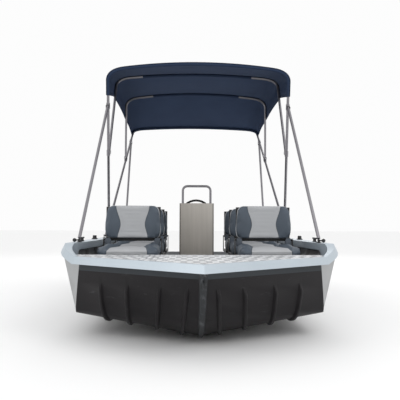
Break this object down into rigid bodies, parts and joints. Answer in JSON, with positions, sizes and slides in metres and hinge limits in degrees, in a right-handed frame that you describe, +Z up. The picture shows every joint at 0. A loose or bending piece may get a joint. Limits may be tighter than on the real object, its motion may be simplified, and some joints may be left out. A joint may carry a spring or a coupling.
{
  "type": "fishing boat",
  "caption": "Open aluminium fishing boat with a V bottom, chequered foredeck, folding seats, centre console and a folding sun top.",
  "frame": {"origin": "on the centreline amidships, at the waterline", "axes": "+X to port, +Y towards the stern, +Z up"},
  "size_m": [1.99, 4.75, 2.3207],
  "materials": {
    "hull_black": "semi-gloss",
    "side_grey": "satin",
    "rail_aluminium": "satin",
    "tread_plate": "embossed",
    "dark_lining": "matt",
    "brushed_metal": "brushed",
    "tube_metal": "anodised",
    "black_plastic": "matt",
    "grip_rubber": "matt",
    "seat_vinyl": "grained vinyl",
    "seat_panel": "grained vinyl",
    "navy_canvas": "woven",
    "thread_light": "piping"
  },
  "bodies": {
    "hull": {"hull_bottom": "hull_black", "stem_bar": "side_grey", "side_plate_port": "side_grey", "side_plate_starboard": "side_grey", "transom": "side_grey", "cleat_port": "side_grey", "cleat_starboard": "side_grey", "bow_rail": "rail_aluminium", "gunwale_port": "rail_aluminium", "gunwale_starboard": "rail_aluminium", "motor_pad": "rail_aluminium", "foredeck": "tread_plate", "foredeck_bulkhead": "dark_lining", "cockpit_floor": "dark_lining", "side_frames_port": "brushed_metal", "side_frames_starboard": "brushed_metal", "console": "brushed_metal", "console_grab_rail": "tube_metal", "rear_bow": "tube_metal", "rear_pole_port": "tube_metal", "rear_pole_starboard": "tube_metal", "rod_holder_port": "black_plastic", "rod_holder_starboard": "black_plastic", "deck_hinge_port": "black_plastic", "deck_hinge_starboard": "black_plastic", "front_pole_foot_port": "black_plastic", "front_pole_foot_starboard": "black_plastic", "rear_pole_foot_port": "black_plastic", "rear_pole_foot_starboard": "black_plastic", "canopy": "navy_canvas", "seat_1_port_base": "black_plastic", "seat_1_port_cushion": "seat_vinyl", "seat_1_starboard_base": "black_plastic", "seat_1_starboard_cushion": "seat_vinyl", "seat_2_port_base": "black_plastic", "seat_2_port_cushion": "seat_vinyl", "seat_2_starboard_base": "black_plastic", "seat_2_starboard_cushion": "seat_vinyl", "seat_3_port_base": "black_plastic", "seat_3_port_cushion": "seat_vinyl", "seat_3_starboard_base": "black_plastic", "seat_3_starboard_cushion": "seat_vinyl"},
    "steering_wheel": {"steering_wheel": "grip_rubber"},
    "front_bow": {"front_bow": "tube_metal"},
    "second_bow": {"second_bow": "tube_metal"},
    "third_bow": {"third_bow": "tube_metal"},
    "front_poles": {"front_pole_port": "tube_metal", "front_pole_starboard": "tube_metal"},
    "seat_1_port_back": {"seat_1_port_back_shell": "black_plastic", "seat_1_port_back_cushion": "seat_vinyl"},
    "seat_1_starboard_back": {"seat_1_starboard_back_shell": "black_plastic", "seat_1_starboard_back_cushion": "seat_vinyl"},
    "seat_2_port_back": {"seat_2_port_back_shell": "black_plastic", "seat_2_port_back_cushion": "seat_vinyl"},
    "seat_2_starboard_back": {"seat_2_starboard_back_shell": "black_plastic", "seat_2_starboard_back_cushion": "seat_vinyl"},
    "seat_3_port_back": {"seat_3_port_back_shell": "black_plastic", "seat_3_port_back_cushion": "seat_vinyl"},
    "seat_3_starboard_back": {"seat_3_starboard_back_shell": "black_plastic", "seat_3_starboard_back_cushion": "seat_vinyl"}
  },
  "joints": [
    {"name": "sun_top_fold", "type": "hinge", "parent": "hull", "child": "front_bow", "pos_m": [0, 0.065, 0.562], "axis": [-1, 0, 0], "range_deg": [0, 62], "deforming": ["canopy"]},
    {"name": "second_bow_fold", "type": "hinge", "parent": "front_bow", "child": "second_bow", "pos_m": [0, -0.2431, 1.3505], "axis": [1, 0, 0], "range_deg": [0, 46.5]},
    {"name": "third_bow_fold", "type": "hinge", "parent": "hull", "child": "third_bow", "pos_m": [0, 1.1584, 1.4732], "axis": [-1, 0, 0], "range_deg": [0, 57.66]},
    {"name": "front_poles_fold", "type": "hinge", "parent": "front_bow", "child": "front_poles", "pos_m": [0, -0.4747, 1.7286], "axis": [1, 0, 0], "range_deg": [0, 52.7]},
    {"name": "steering", "type": "hinge", "parent": "hull", "child": "steering_wheel", "pos_m": [0, 0.6802, 0.7855], "axis": [0, 0.9397, 0.342], "range_deg": [-540, 540]},
    {"name": "seat_1_port_back_fold", "type": "hinge", "parent": "hull", "child": "seat_1_port_back", "pos_m": [0.555, -0.69, 0.547], "axis": [1, 0, 0], "range_deg": [0, 90]},
    {"name": "seat_1_starboard_back_fold", "type": "hinge", "parent": "hull", "child": "seat_1_starboard_back", "pos_m": [-0.555, -0.69, 0.547], "axis": [1, 0, 0], "range_deg": [0, 90]},
    {"name": "seat_2_port_back_fold", "type": "hinge", "parent": "hull", "child": "seat_2_port_back", "pos_m": [0.555, 0.06, 0.547], "axis": [1, 0, 0], "range_deg": [0, 90]},
    {"name": "seat_2_starboard_back_fold", "type": "hinge", "parent": "hull", "child": "seat_2_starboard_back", "pos_m": [-0.555, 0.06, 0.547], "axis": [1, 0, 0], "range_deg": [0, 90]},
    {"name": "seat_3_port_back_fold", "type": "hinge", "parent": "hull", "child": "seat_3_port_back", "pos_m": [0.555, 0.81, 0.547], "axis": [1, 0, 0], "range_deg": [0, 90]},
    {"name": "seat_3_starboard_back_fold", "type": "hinge", "parent": "hull", "child": "seat_3_starboard_back", "pos_m": [-0.555, 0.81, 0.547], "axis": [1, 0, 0], "range_deg": [0, 90]}
  ],
  "couplings": [
    {"joint": "second_bow_fold", "follows": "sun_top_fold", "ratio": 0.75},
    {"joint": "third_bow_fold", "follows": "sun_top_fold", "ratio": 0.93},
    {"joint": "front_poles_fold", "follows": "sun_top_fold", "ratio": 0.85}
  ]
}
